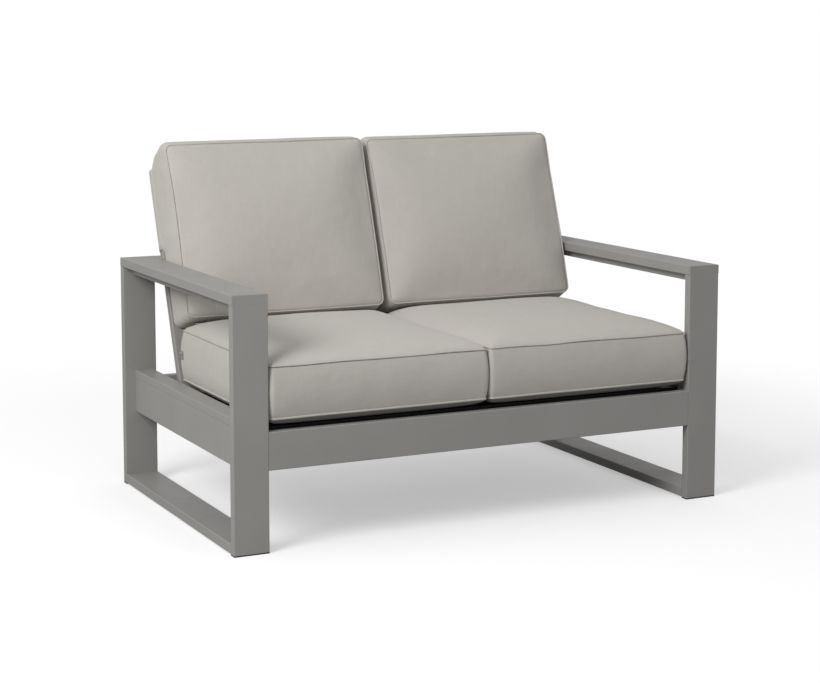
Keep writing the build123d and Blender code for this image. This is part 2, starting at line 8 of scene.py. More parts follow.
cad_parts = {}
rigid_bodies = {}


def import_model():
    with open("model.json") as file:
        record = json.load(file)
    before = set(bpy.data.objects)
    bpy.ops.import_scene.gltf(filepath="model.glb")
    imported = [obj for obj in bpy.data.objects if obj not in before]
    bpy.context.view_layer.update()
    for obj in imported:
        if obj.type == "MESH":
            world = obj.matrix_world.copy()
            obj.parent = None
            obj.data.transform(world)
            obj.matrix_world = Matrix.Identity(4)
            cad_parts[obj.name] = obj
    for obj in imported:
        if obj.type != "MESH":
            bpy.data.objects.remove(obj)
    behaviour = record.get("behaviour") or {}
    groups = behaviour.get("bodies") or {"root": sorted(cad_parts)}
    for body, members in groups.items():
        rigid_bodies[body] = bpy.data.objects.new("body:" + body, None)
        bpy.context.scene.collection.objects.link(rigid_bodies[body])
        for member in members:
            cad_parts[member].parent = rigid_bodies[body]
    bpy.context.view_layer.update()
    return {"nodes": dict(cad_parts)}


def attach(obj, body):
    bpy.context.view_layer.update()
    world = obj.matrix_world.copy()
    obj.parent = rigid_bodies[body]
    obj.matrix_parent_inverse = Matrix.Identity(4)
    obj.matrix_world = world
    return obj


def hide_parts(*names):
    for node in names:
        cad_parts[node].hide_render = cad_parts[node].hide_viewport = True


scene = bpy.context.scene
for leftOver in list(scene.objects):
    bpy.data.objects.remove(leftOver)
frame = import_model()
print("scene: frame loaded")
sides = ((-1, "left"), (1, "right"))
noise.seed_set(3)  # or else the clock would seed it, and no two runs would be alike

# Small helpers


def srgb(code):
    # A hex colour as Blender's linear colour
    parts = [int(code[i : i + 2], 16) / 255 for i in (1, 3, 5)]
    linear = [p / 12.92 if p <= 0.04045 else ((p + 0.055) / 1.055) ** 2.4 for p in parts]
    return (*linear, 1)


def addNode(tree, kind, inputs=None, **settings):
    # One node of any kind. An input is a value, a socket, or a node and then its first live output
    node = tree.nodes.new(kind)
    for name, value in settings.items():
        setattr(node, name, value)
    for key, value in (inputs or {}).items():
        if isinstance(value, bpy.types.Node):
            value = next(output for output in value.outputs if output.enabled)
        if isinstance(value, bpy.types.NodeSocket):
            tree.links.new(value, node.inputs[key])
        else:
            node.inputs[key].default_value = value
    return node


def newMaterial(name):
    # An empty material, its tree, and the shaded point in metres on the object
    material = bpy.data.materials.new(name)
    material.use_nodes = True
    tree = material.node_tree
    tree.nodes.clear()
    place = addNode(tree, "ShaderNodeTexCoord").outputs["Object"]
    return material, tree, place


def patches(tree, place, perMetre, strength):
    # Soft patches of noise, from none up to strength
    inputs = {"Vector": place, "Scale": perMetre, "Detail": 3}
    patch = addNode(tree, "ShaderNodeTexNoise", inputs)
    inputs = {"Value": patch, "From Min": 0.35, "From Max": 0.65, "To Max": strength}
    return addNode(tree, "ShaderNodeMapRange", inputs)


def ridges(tree, place, perUnit):
    # Round ridges side by side, as threads lie
    inputs = {0: place, 1: perUnit * math.pi}
    angle = addNode(tree, "ShaderNodeMath", inputs, operation="MULTIPLY")
    wave = addNode(tree, "ShaderNodeMath", {0: angle}, operation="SINE")
    return addNode(tree, "ShaderNodeMath", {0: wave}, operation="ABSOLUTE")


def surfaced(material, tree, inputs):
    # The material, once its tree ends in a shader with these inputs
    shader = addNode(tree, "ShaderNodeBsdfPrincipled", inputs)
    addNode(tree, "ShaderNodeOutputMaterial", {"Surface": shader})
    return material


def linked(name, mesh):
    made = bpy.data.objects.new(name, mesh)
    scene.collection.objects.link(made)
    return made


def coordinates(mesh):
    flat = np.empty(len(mesh.vertices) * 3, np.float32)
    mesh.vertices.foreach_get("co", flat)
    return flat.reshape(-1, 3).astype(float)


def setCoordinates(mesh, points):
    mesh.vertices.foreach_set("co", points.astype(np.float32).ravel())
    mesh.update()


def subdivided(piece):
    smooth = piece.modifiers.new("smooth", "SUBSURF")
    smooth.levels = 1
    smooth.render_levels = 1


def thickened(piece, thickness, offset):
    # An offset of 1 grows the wall outwards and -1 inwards
    thick = piece.modifiers.new("thick", "SOLIDIFY")
    thick.thickness = thickness
    thick.offset = offset


def softLimit(values, limit, margin):
    # Values that would pass the limit level out just short of it
    over = np.maximum(values - (limit - margin), 0)
    return np.minimum(values, limit - margin) + margin * (1 - np.exp(-over / margin))


def stepped(values, low, high):
    # 0 below low, 1 above high, and a smooth rise between them
    share = np.clip((values - low) / (high - low), 0, 1)
    return share * share * (3 - 2 * share)


def waved(points, seed, amount, size):
    # A slow unevenness, since no seam is sewn quite straight
    shift = [noise.noise_vector(Vector(p) / size + Vector((seed, 0, 0))) for p in points]
    return points + amount * np.array([tuple(v) for v in shift])


# Materials. A pattern's scale is how many of it go into a metre. A colour mix takes its share at
# input 0 and its two colours at inputs 6 and 7
coatLooks = {
    "colour": "#9c9a97",
    "clouded": "#918f8c",
    # Lighter tone of the specks, and of the painted highlight on the edges
    "specksAndEdgeHighlight": "#adaba7",
    "roughness": 0.42,
    "metallic": 0.0,
    "edge": 0.0012,  # radius that every edge is shaded to
    "cloudsPerMetre": 7,  # patches about 140 mm wide
    "clouding": 0.35,
    "flecksPerMetre": 900,  # specks 1.1 mm across
    "flecking": 0.12,
    # How far the edges are lightened: a painted highlight
    "edgeHighlight": 0.5,
    "sheensPerMetre": 18,  # patches of gloss about 55 mm wide
    "peelPerMetre": 620,  # orange peel 1.6 mm across
    "peelDepth": 0.00005,
}


def powderCoat(name, looks):
    # Satin polyester powder coat on extruded aluminium: a fine orange peel, faint clouding where
    # the coat is thicker, and edges rounded, with a painted highlight that makes them a little
    # lighter
    material, tree, place = newMaterial(name)
    clouded = patches(tree, place, looks["cloudsPerMetre"], looks["clouding"])
    inputs = {"Vector": place, "Scale": looks["flecksPerMetre"], "Detail": 1}
    fleck = addNode(tree, "ShaderNodeTexNoise", inputs)
    inputs = {"Value": fleck, "From Min": 0.4, "From Max": 0.75, "To Max": looks["flecking"]}
    flecked = addNode(tree, "ShaderNodeMapRange", inputs)
    # Painted highlight: edges, where the rounded normal turns away from the flat one, are made
    # lighter
    rounded = addNode(tree, "ShaderNodeBevel", {"Radius": looks["edge"]}, samples=4)
    flat = addNode(tree, "ShaderNodeNewGeometry").outputs["Normal"]
    turned = addNode(tree, "ShaderNodeVectorMath", {0: rounded, 1: flat}, operation="DOT_PRODUCT")
    inputs = {"Value": turned, "From Min": 0.97, "From Max": 0.8, "To Max": looks["edgeHighlight"]}
    highlitEdges = addNode(tree, "ShaderNodeMapRange", inputs)
    tone = srgb(looks["colour"])
    for share, over in ((clouded, "clouded"), (flecked, "specksAndEdgeHighlight"), (highlitEdges, "specksAndEdgeHighlight")):
        inputs = {0: share, 6: tone, 7: srgb(looks[over])}
        tone = addNode(tree, "ShaderNodeMix", inputs, data_type="RGBA")
    inputs = {"Vector": place, "Scale": looks["sheensPerMetre"], "Detail": 4}
    sheen = addNode(tree, "ShaderNodeTexNoise", inputs)
    inputs = {
        "Value": sheen,
        "From Min": 0.3,
        "From Max": 0.7,
        "To Min": looks["roughness"] - 0.05,
        "To Max": looks["roughness"] + 0.07,
    }
    shine = addNode(tree, "ShaderNodeMapRange", inputs)
    peel = addNode(tree, "ShaderNodeTexNoise", {"Vector": place, "Scale": looks["peelPerMetre"]})
    inputs = {"Height": peel, "Strength": 0.35, "Distance": looks["peelDepth"], "Normal": rounded}
    bump = addNode(tree, "ShaderNodeBump", inputs)
    inputs = {"Base Color": tone, "Roughness": shine, "Metallic": looks["metallic"], "Normal": bump}
    return surfaced(material, tree, inputs)


# The seat deck's slats are coloured near black as painted shade, for the deep shadow seen through
# the gap over the front rail
deckShadeLooks = {**coatLooks, "colour": "#1b1b1b", "clouded": "#161616", "specksAndEdgeHighlight": "#2b2b2b"}

clothLooks = {
    "colour": "#c3bfb8",
    "dark": "#b7b3ac",
    "light": "#cac7c1",
    "crease": "#57534d",
    "creaseBand": (4.9962, 4.9974, 4.9996),  # starts, is full and ends, with the seam at 5
    "threadsPerMetre": 620,  # 1.6 mm apart
    "slubsPerMetre": 520,
    "slubShape": 0.04,  # a slub's width over its length
    "cloudsPerMetre": 11,
    "foldsPerMetre": 24,  # slack cloth, about 40 mm from fold to fold
    "evenness": 0.8,  # how much of the slubs the main colour hides
    "gapShade": 0.1,  # between threads
    "clouding": 0.14,
    "roughness": 0.92,
    "sheen": 0.18,
    "weaveDepth": 0.00022,
    "slubDepth": 0.00025,
    "foldDepth": 0.004,
}

# The seats' underside is the same cloth darkened, as painted shade for the dim lower crown below
# the seam
undersideShadeLooks = {**clothLooks, "colour": "#7d7a74", "dark": "#706d68", "light": "#86837d"}


def wovenCloth(name, looks):
    # Plain-woven solution-dyed polyester: two sets of threads, slubs along both and a soft nap.
    # The threads are drawn 1.6 mm apart, coarser than the real 0.8 mm, which would not show
    material, tree, place = newMaterial(name)
    cloth = addNode(tree, "ShaderNodeUVMap", uv_map="cloth")
    split = addNode(tree, "ShaderNodeSeparateXYZ", {0: cloth}).outputs
    warp, weft = (ridges(tree, way, looks["threadsPerMetre"]) for way in split[:2])
    inputs = {"Vector": cloth, "Scale": looks["threadsPerMetre"]}
    onTop = addNode(tree, "ShaderNodeTexChecker", inputs).outputs["Fac"]
    weave = addNode(tree, "ShaderNodeMix", {0: onTop, 2: warp, 3: weft})
    slubs = []
    for stretch in ((1, looks["slubShape"], 1), (looks["slubShape"], 1, 1)):
        laid = addNode(tree, "ShaderNodeMapping", {"Vector": cloth, "Scale": stretch})
        inputs = {"Vector": laid, "Scale": looks["slubsPerMetre"]}
        slubs.append(addNode(tree, "ShaderNodeTexNoise", inputs))
    both = addNode(tree, "ShaderNodeMath", {0: slubs[0], 1: slubs[1]}, operation="ADD")
    slub = addNode(tree, "ShaderNodeMath", {0: both, 1: 0.5}, operation="MULTIPLY")

    # The stitched crease beside the piping gathers shade; a band's map ends at 5 there
    low, full, high = looks["creaseBand"]
    inputs = {"Value": split[1], "From Min": low, "From Max": full}
    below = addNode(tree, "ShaderNodeMapRange", inputs)
    above = addNode(tree, "ShaderNodeMath", {0: split[1], 1: high}, operation="LESS_THAN")
    crease = addNode(tree, "ShaderNodeMath", {0: below, 1: above}, operation="MULTIPLY")

    inputs = {"Value": slub, "From Min": 0.42, "From Max": 0.58}
    slubbed = addNode(tree, "ShaderNodeMapRange", inputs)
    inputs = {"Value": weave, "From Max": 0.8, "To Min": looks["gapShade"], "To Max": 0}
    gaps = addNode(tree, "ShaderNodeMapRange", inputs)
    clouded = patches(tree, place, looks["cloudsPerMetre"], looks["clouding"])
    tone = srgb(looks["dark"])
    for share, over in (
        (slubbed, "light"),
        (looks["evenness"], "colour"),
        (gaps, "dark"),
        (clouded, "dark"),
        (crease, "crease"),
    ):
        inputs = {0: share, 6: tone, 7: srgb(looks[over])}
        tone = addNode(tree, "ShaderNodeMix", inputs, data_type="RGBA")

    inputs = {"Height": weave, "Strength": 0.5, "Distance": looks["weaveDepth"]}
    threaded = addNode(tree, "ShaderNodeBump", inputs)
    inputs = {"Height": slub, "Strength": 0.5, "Distance": looks["slubDepth"], "Normal": threaded}
    rough = addNode(tree, "ShaderNodeBump", inputs)
    fold = addNode(tree, "ShaderNodeTexNoise", {"Vector": place, "Scale": looks["foldsPerMetre"]})
    inputs = {"Height": fold, "Strength": 0.5, "Distance": looks["foldDepth"], "Normal": rough}
    folded = addNode(tree, "ShaderNodeBump", inputs)
    inputs = {
        "Base Color": tone,
        "Roughness": looks["roughness"],
        "Sheen Weight": looks["sheen"],
        "Sheen Roughness": 0.55,
        "Specular IOR Level": 0.2,
        "Normal": folded,
    }
    return surfaced(material, tree, inputs)


pipingLooks = {
    "colour": "#c6c2bb",
    "dark": "#b3afa8",
    "ribsPerMetre": 900,  # drawn coarse enough to show, as the weave is
    "ribDepth": 0.0003,
    "grooveShade": 0.45,
    "patchesPerMetre": 60,
    "patchShade": 0.3,
    "roughness": 0.9,
    "sheen": 0.15,
}


def biasCord(name, looks):
    # Bias-cut strip of the same cloth sewn round a cord, so its threads run askew
    material, tree, place = newMaterial(name)
    along = addNode(tree, "ShaderNodeAttribute", attribute_name="along").outputs["Fac"]
    around = addNode(tree, "ShaderNodeAttribute", attribute_name="around").outputs["Fac"]
    inputs = {0: along, 1: looks["ribsPerMetre"] * 2}
    counted = addNode(tree, "ShaderNodeMath", inputs, operation="MULTIPLY")
    askew = addNode(tree, "ShaderNodeMath", {0: counted, 1: around}, operation="ADD")
    rib = ridges(tree, askew, 1)
    inputs = {"Value": rib, "From Max": 0.7, "To Min": looks["grooveShade"], "To Max": 0}
    grooves = addNode(tree, "ShaderNodeMapRange", inputs)
    uneven = patches(tree, place, looks["patchesPerMetre"], looks["patchShade"])
    tone = srgb(looks["colour"])
    for share in (grooves, uneven):
        inputs = {0: share, 6: tone, 7: srgb(looks["dark"])}
        tone = addNode(tree, "ShaderNodeMix", inputs, data_type="RGBA")
    inputs = {"Height": rib, "Strength": 0.5, "Distance": looks["ribDepth"]}
    bump = addNode(tree, "ShaderNodeBump", inputs)
    inputs = {
        "Base Color": tone,
        "Roughness": looks["roughness"],
        "Sheen Weight": looks["sheen"],
        "Specular IOR Level": 0.2,
        "Normal": bump,
    }
    return surfaced(material, tree, inputs)


def plainPart(name, colour, dark, roughness, metallic, grainPerMetre, depth):
    # Moulded or cast surface with a fine grain, and darker blotches eight grains wide
    material, tree, place = newMaterial(name)
    inputs = {"Vector": place, "Scale": grainPerMetre / 8, "Detail": 3}
    blotch = addNode(tree, "ShaderNodeTexNoise", inputs)
    inputs = {"Value": blotch, "From Min": 0.35, "From Max": 0.7}
    spots = addNode(tree, "ShaderNodeMapRange", inputs)
    inputs = {0: spots, 6: srgb(colour), 7: srgb(dark)}
    tone = addNode(tree, "ShaderNodeMix", inputs, data_type="RGBA")
    inputs = {
        "Value": blotch,
        "From Min": 0.3,
        "From Max": 0.7,
        "To Min": roughness - 0.06,
        "To Max": roughness + 0.08,
    }
    shine = addNode(tree, "ShaderNodeMapRange", inputs)
    grain = addNode(tree, "ShaderNodeTexNoise", {"Vector": place, "Scale": grainPerMetre})
    bump = addNode(tree, "ShaderNodeBump", {"Height": grain, "Strength": 0.4, "Distance": depth})
    inputs = {"Base Color": tone, "Roughness": shine, "Metallic": metallic, "Normal": bump}
    return surfaced(material, tree, inputs)


frameCoat = powderCoat("powder_coated_aluminium", coatLooks)
# Near-black slats: painted shade
deckShadeCoat = powderCoat("slats_darkened_as_painted_shade", deckShadeLooks)
cushionCloth = wovenCloth("woven_polyester_cloth", clothLooks)
# Darker underside cloth: painted shade
undersideShadeCloth = wovenCloth("woven_cloth_darkened_as_painted_shade", undersideShadeLooks)
cordCloth = biasCord("bias_cut_piping_cloth", pipingLooks)
# Two colours, roughness, metallic, grains per metre and their depth
threadStuff = plainPart("spun_polyester_thread", "#a8a49d", "#8f8b85", 0.7, 0, 2500, 0.0001)
tapeStuff = plainPart("woven_zip_tape", "#a19d97", "#8e8a84", 0.85, 0, 1800, 0.0002)
coilStuff = plainPart("moulded_nylon_zip_teeth", "#8f8c87", "#7c7974", 0.5, 0, 3000, 0.00005)
zipMetal = plainPart("enamelled_zinc_slider", "#e6e4df", "#d2d0cb", 0.4, 0, 2200, 0.00004)
glideStuff = plainPart("injection_moulded_black_nylon", "#1d1d1e", "#121213", 0.6, 0, 1600, 0.00008)
fastenerSteel = plainPart("zinc_plated_steel", "#b7b9ba", "#9c9ea0", 0.3, 1, 1500, 0.00003)
bracketStuff = plainPart(
    "mill_finish_aluminium_bracket", "#b9b8b4", "#a4a39f", 0.38, 1, 1200, 0.00004
)
print("scene: materials made")

# Finishes of the CAD pieces that stay shown
finishes = {
    # The slats' near black is painted shade for the dark under the cushions
    "seat_slats": deckShadeCoat,
    "leg_glides": glideStuff,
    "top_rail_plugs": glideStuff,
    "bracket_bolts": fastenerSteel,
    "rivet_nuts": fastenerSteel,
    "plate_screws": fastenerSteel,
    "corner_brackets": bracketStuff,
    "beam_brackets": bracketStuff,
}
for _, sideName in sides:
    finishes[f"{sideName}_seat_zip_slider"] = zipMetal
    finishes[f"{sideName}_back_zip_slider"] = zipMetal
for nodeName, node in frame["nodes"].items():
    node.data.materials.clear()
    node.data.materials.append(finishes.get(nodeName, frameCoat))

# Cushion shapes, in metres at the piping
seatShape = {
    "width": 0.580,
    "depth": 0.622,
    "corner": 0.008,
    "middle": (0.296, -0.107),  # of the right seat, which the left one mirrors
    "lowSeam": 0.322,
    "highSeam": 0.448,
    "bulge": 0.0085,
    "bulgePower": 0.7,
    "crown": 0.038,
    "lowCrown": 0.036,
    "lowFullness": (0.45, 0.65),  # across and along, fuller where lower
    "rearLift": 0.003,
    "rearLiftFull": 0.7,  # share of the half depth
    "sideSag": 0.006,
    "sagStart": 0.8,  # share of the half width
    "sagFull": 0.25,  # share of the depth
    "finalCrown": 0.043,  # after the cover is filled
    "restHeight": 0.2936,  # just above the slats
    "restMargin": 0.004,
    "zipBand": 0.013,
    "zipDepth": 0.040,  # the zip holds the cloth this far from the rear
    "zipInnerEnd": 0.030,
    "zipOuterEnd": 0.032,
    "armGap": 0.5946,  # from the middle of the sofa to the arm
    "armMargin": 0.002,
    "neighbourGap": 0.0004,
    "neighbourMargin": 0.001,
    # x, y, radius and depth of each
    "dents": {"left": ((-0.47, -0.19, 0.06, 0.003),), "right": ((0.12, 0.02, 0.07, 0.0015),)},
    "dentStart": 0.002,
    "seed": 3,
}
backShape = {
    "width": 0.572,
    "height": 0.4765,
    "corner": 0.018,
    "rounding": 0.4,
    "middle": (0.297, 0.40825),  # across, and up the slope
    "foot": (0.1981, 0.293),  # y and z where the back frame's plane starts
    "tilt": 20.93,  # degrees
    "rear": 0.0033,  # out from that plane, as seam and zipDistance are
    "rearRound": 0.0015,
    "rearFlare": 0.008,
    "bulge": 0.006,
    "seam": 0.100,
    "seamLean": 1.5,  # degrees
    "seamBow": 0.008,
    "twist": 0.009,
    "twistZone": 0.12,
    "crown": 0.020,
    "finalCrown": 0.024,
    "topRound": 0.042,
    "topRoundEnd": 0.97,
    "topBulge": 0.011,
    "topBulgeZone": 0.020,
    "topBulgePowers": (1.2, 0.6),  # above 1 moves it forward, below 1 makes it fuller
    "hoodFlare": 0.0055,
    "hoodZone": (0.377, 0.383, 0.605, 0.635),  # starts, is full, fades and ends up the slope
    "hoodFlareReach": 0.5,
    "hoodFlareWidth": 0.002,
    "zipDistance": 0.05765,
    "zipBand": 0.013,
    "zipDepth": 0.010,
    "zipEnd": 0.030,
    "seed": 7,
}
meshing = {"cell": 0.0085, "cornerCells": 3, "boxingRows": 14, "roundRows": 5, "seamInset": 0.001}
crownLooks = {"power": 3.5, "fullness": (0.65, 0.65), "squareness": 5}
seamLooks = {"seatWaviness": 0.0022, "backWaviness": 0.0011, "waveSize": 0.13}
cordLooks = {"waviness": 0.0006, "seatWaveSize": 0.12, "backWaveSize": 0.09}


def gridStops(half, corner):
    # Places of the grid lines across a panel, with lines where its rounded corners start
    cells = max(4, round(2 * (half - corner) / meshing["cell"]))
    inner = np.linspace(corner - half, half - corner, cells + 1)
    outer = np.linspace(half - corner, half, meshing["cornerCells"] + 1)[1:]
    return np.concatenate([-outer[::-1], inner, outer])


def cornered(x, y, halfX, halfY, corner):
    # Points of a square grid moved so that its corners follow quarter circles
    u = np.clip((np.abs(x) - (halfX - corner)) / corner, 0, 1)
    v = np.clip((np.abs(y) - (halfY - corner)) / corner, 0, 1)
    roundX = halfX - corner + corner * u * np.sqrt(1 - v * v / 2)
    roundY = halfY - corner + corner * v * np.sqrt(1 - u * u / 2)
    return np.where(u > 0, np.sign(x) * roundX, x), np.where(v > 0, np.sign(y) * roundY, y)


def rimOrder(nx, ny):
    # Grid indices round the edge of a panel, anticlockwise from its lower left corner
    rim = [(i, 0) for i in range(nx)]
    rim += [(nx - 1, j) for j in range(1, ny)]
    rim += [(i, ny - 1) for i in range(nx - 2, -1, -1)]
    rim += [(0, j) for j in range(ny - 2, 0, -1)]
    return rim


def grown(x, y, halfX, halfY, corner, grow, rounding):
    # The rim of a panel drawn out by grow on every side; where it swells its corners may get
    # rounder, by the share rounding
    radius = corner + max(0.0, grow) * rounding
    spread = []
    for place, half in ((x, halfX), (y, halfY)):
        straight = half - corner
        inside = np.minimum(np.abs(place), straight) / straight
        beyond = np.maximum(np.abs(place) - straight, 0) / corner
        spread.append(np.sign(place) * ((half + grow - radius) * inside + radius * beyond))
    return cornered(*spread, halfX + grow, halfY + grow, radius)


def crownShare(stopsX, stopsY, halfX, halfY, fullness):
    # How far a panel stands out over its seams: steep at the seams, level in the middle, and as
    # full in its corners as the nearer of its two seams lets it be
    square = crownLooks["squareness"]
    a, b = (
        (1 - np.abs(stops / half) ** crownLooks["power"]).clip(1e-6) ** full
        for stops, half, full in zip((stopsX, stopsY), (halfX, halfY), fullness)
    )
    return ((a[:, None] ** -square + b[None, :] ** -square) / 2) ** (-1 / square)


class Cushion:
    # A closed form of two panels with a band between them, in its own axes. Each row of the
    # band is its share of the way from the rear panel to the front one, and how far it grows.
    # levels give the height of each panel's seam, and crowns how far its middle stands past it

    def __init__(
        self,
        size,
        corner,
        rows,
        levels,
        crowns,
        openRear=False,
        bandEnd=5.0,
        rounding=0.0,
        rearFullness=crownLooks["fullness"],
        settle=lambda points: points,
    ):
        width, height = size
        self.size, self.corner, self.rows, self.rounding = size, corner, rows, rounding
        self.levels, self.settle = levels, settle
        stopsX, stopsY = gridStops(width / 2, corner), gridStops(height / 2, corner)
        nx, ny = len(stopsX), len(stopsY)
        rim = rimOrder(nx, ny)
        self.rimX = np.array([stopsX[i] for i, j in rim])
        self.rimY = np.array([stopsY[j] for i, j in rim])
        self.panelPoints = nx * ny
        places = []
        fullnesses = (rearFullness, crownLooks["fullness"])
        ends = zip(levels, (rows[0], rows[-1]), crowns, (-1, 1), fullnesses)
        for level, (_, grow), crown, out, fullness in ends:
            share = crownShare(stopsX, stopsY, width / 2, height / 2, fullness)
            x, y = np.meshgrid(stopsX, stopsY, indexing="ij")
            x, y = cornered(x, y, width / 2, height / 2, corner)
            x = x * (1 + 2 * grow / width)
            y = y * (1 + 2 * grow / height)
            panel = np.stack([x, y, level(x, y) + out * crown * share], axis=-1).reshape(-1, 3)
            places.append(settle(panel))
        rearRim = [i * ny + j for i, j in rim]
        self.loops = [rearRim]
        at = 2 * self.panelPoints
        for row in rows[1:-1]:
            places.append(self.ring(*row))
            self.loops.append(list(range(at, at + len(rim))))
            at += len(rim)
        self.loops.append([self.panelPoints + k for k in rearRim])
        self.points = np.concatenate(places)
        self.points[self.loops[0]] = self.ring(*rows[0])
        self.points[self.loops[-1]] = self.ring(*rows[-1])
        self.faces, self.uvs, self.rearFaces = [], [], []
        for i in range(nx - 1):
            for j in range(ny - 1):
                cells = [(i, j), (i + 1, j), (i + 1, j + 1), (i, j + 1)]
                flat = [(stopsX[a] + 1, stopsY[b] + 1) for a, b in cells]
                self.faces.append([self.panelPoints + a * ny + b for a, b in cells])
                self.uvs.append(flat)
                if not openRear:
                    self.rearFaces.append(len(self.faces))
                    self.faces.append([a * ny + b for a, b in cells[::-1]])
                    self.uvs.append([(x + 3, y) for x, y in flat[::-1]])
        self.addBand(bandEnd)

    def ring(self, share, grow):
        # One row of the band
        width, height = self.size
        x, y = grown(self.rimX, self.rimY, width / 2, height / 2, self.corner, grow, self.rounding)
        z = (1 - share) * self.levels[0](x, y) + share * self.levels[1](x, y)
        return self.settle(np.stack([x, y, z], axis=-1))

    def growAt(self, share):
        return float(np.interp(share, [r[0] for r in self.rows], [r[1] for r in self.rows]))

    def addBand(self, bandEnd):
        # The band's map measures down from bandEnd at the front seam
        edge = self.points[self.loops[-1]]
        steps = np.linalg.norm(np.roll(edge, -1, axis=0) - edge, axis=1)
        along = np.concatenate([[0], np.cumsum(steps)])
        total = len(edge)
        pairs = list(zip(self.loops, self.loops[1:]))
        rises = [np.linalg.norm(self.points[b] - self.points[a], axis=1).mean() for a, b in pairs]
        highs = bandEnd - sum(rises) + np.cumsum(rises)
        for (lower, upper), rise, high in zip(pairs, rises, highs):
            low = high - rise
            for k in range(total):
                following = (k + 1) % total
                start, end = along[k], along[k + 1]
                self.faces.append([lower[k], lower[following], upper[following], upper[k]])
                self.uvs.append([(start, low), (end, low), (end, high), (start, high)])

    def build(self, name, toWorld, *materials):
        # Points that no face uses, as under an open rear, are left out
        used = sorted({i for face in self.faces for i in face})
        renumbered = {old: new for new, old in enumerate(used)}
        faces = [[renumbered[i] for i in face] for face in self.faces]
        mesh = bpy.data.meshes.new(name)
        mesh.from_pydata(toWorld(self.points[used]).tolist(), [], faces)
        layer = mesh.uv_layers.new(name="cloth")
        layer.data.foreach_set("uv", np.array(self.uvs, np.float32).ravel())
        for material in materials:
            mesh.materials.append(material)
        for number in self.rearFaces:
            mesh.polygons[number].material_index = len(materials) - 1
        mesh.shade_smooth()
        mesh.update()
        return linked(name, mesh)


simLooks = {
    "pressure": 4,  # of the filling
    "looser": -0.004,  # below 0 the cover is cut larger than its shape
    "frames": 20,
    "easing": 14,  # rounds
    "scaling": (0.1, 1.5),  # the least and the most
    "quality": 6,
    "stiffness": 15,
    "bending": 3,
    "panelCap": 0.026,  # no point of a panel moves further
    "bandCap": 0.003,  # nor one of the band
}


def eased(shift, mesh, pinned):
    # The swelling without its small creases: each point takes its neighbours' mean, many times
    ends = np.empty(2 * len(mesh.edges), np.int32)
    mesh.edges.foreach_get("vertices", ends)
    first, second = ends.reshape(-1, 2).T
    count = np.bincount(ends, minlength=len(shift))[:, None]
    for _ in range(simLooks["easing"]):
        total = np.zeros_like(shift)
        np.add.at(total, first, shift[second])
        np.add.at(total, second, shift[first])
        shift = 0.5 * shift + 0.5 * total / np.maximum(count, 1)
        shift[pinned] = 0
    return shift


def filled(piece, form, pinned, outward, rise):
    # Fills the cover: its cloth swells against the pinned seams, and the front panel ends up
    # standing rise further out at its middle
    mesh = piece.data
    rest = coordinates(mesh)
    seams = piece.vertex_groups.new(name="seams")
    seams.add([int(i) for i in np.nonzero(pinned)[0]], 1.0, "REPLACE")
    cloth = piece.modifiers.new("cloth", "CLOTH")
    settings = cloth.settings
    settings.quality = simLooks["quality"]
    settings.tension_stiffness = simLooks["stiffness"]
    settings.compression_stiffness = simLooks["stiffness"]
    settings.bending_stiffness = simLooks["bending"]
    settings.use_pressure = True
    settings.uniform_pressure_force = simLooks["pressure"]
    settings.shrink_min = simLooks["looser"]
    settings.vertex_group_mass = seams.name
    settings.effector_weights.gravity = 0
    cloth.collision_settings.use_collision = False
    cloth.point_cache.frame_start = 1
    cloth.point_cache.frame_end = simLooks["frames"]
    for number in range(1, simLooks["frames"] + 1):
        scene.frame_set(number)
    shown = piece.evaluated_get(bpy.context.evaluated_depsgraph_get())
    shift = coordinates(shown.data) - rest
    piece.modifiers.remove(cloth)
    piece.vertex_groups.remove(seams)
    scene.frame_set(1)
    shift = eased(shift, mesh, pinned)
    panel = slice(form.panelPoints, 2 * form.panelPoints)
    middle = form.panelPoints + form.panelPoints // 2
    swell = float(shift[middle] @ np.array(outward))
    most = float(np.abs(shift).max())
    print(f"scene: {piece.name} swelled by {swell * 1000:.1f} mm, at most {most * 1000:.1f} mm")
    least, greatest = simLooks["scaling"]
    shift[panel] *= min(greatest, max(least, rise / max(swell, 1e-6)))
    caps = np.full(len(rest), simLooks["bandCap"])
    caps[panel] = simLooks["panelCap"]
    far = np.linalg.norm(shift, axis=1)
    shift *= np.minimum(1, caps / np.maximum(far, 1e-9))[:, None]
    setCoordinates(mesh, rest + shift)


# Geometry Nodes trees


def newTree(name, inputs):
    tree = bpy.data.node_groups.new(name, "GeometryNodeTree")
    tree.interface.new_socket("Geometry", in_out="INPUT", socket_type="NodeSocketGeometry")
    for label, kind in inputs:
        tree.interface.new_socket(label, in_out="INPUT", socket_type=kind)
    tree.interface.new_socket("Geometry", in_out="OUTPUT", socket_type="NodeSocketGeometry")
    return tree, addNode(tree, "NodeGroupInput").outputs


def endTree(tree, geometry, material):
    whole = addNode(tree, "GeometryNodeRealizeInstances", {0: geometry})
    smooth = addNode(tree, "GeometryNodeSetShadeSmooth", {0: whole})
    painted = addNode(tree, "GeometryNodeSetMaterial", {0: smooth, "Material": material})
    addNode(tree, "NodeGroupOutput", {0: painted})
    return tree


def evenLine(tree, given):
    # The helper's edges as a curve with evenly spaced points
    line = addNode(tree, "GeometryNodeMeshToCurve", {0: given["Geometry"]})
    inputs = {"Curve": line, "Length": given["Spacing"]}
    return addNode(tree, "GeometryNodeResampleCurve", inputs, mode="LENGTH")


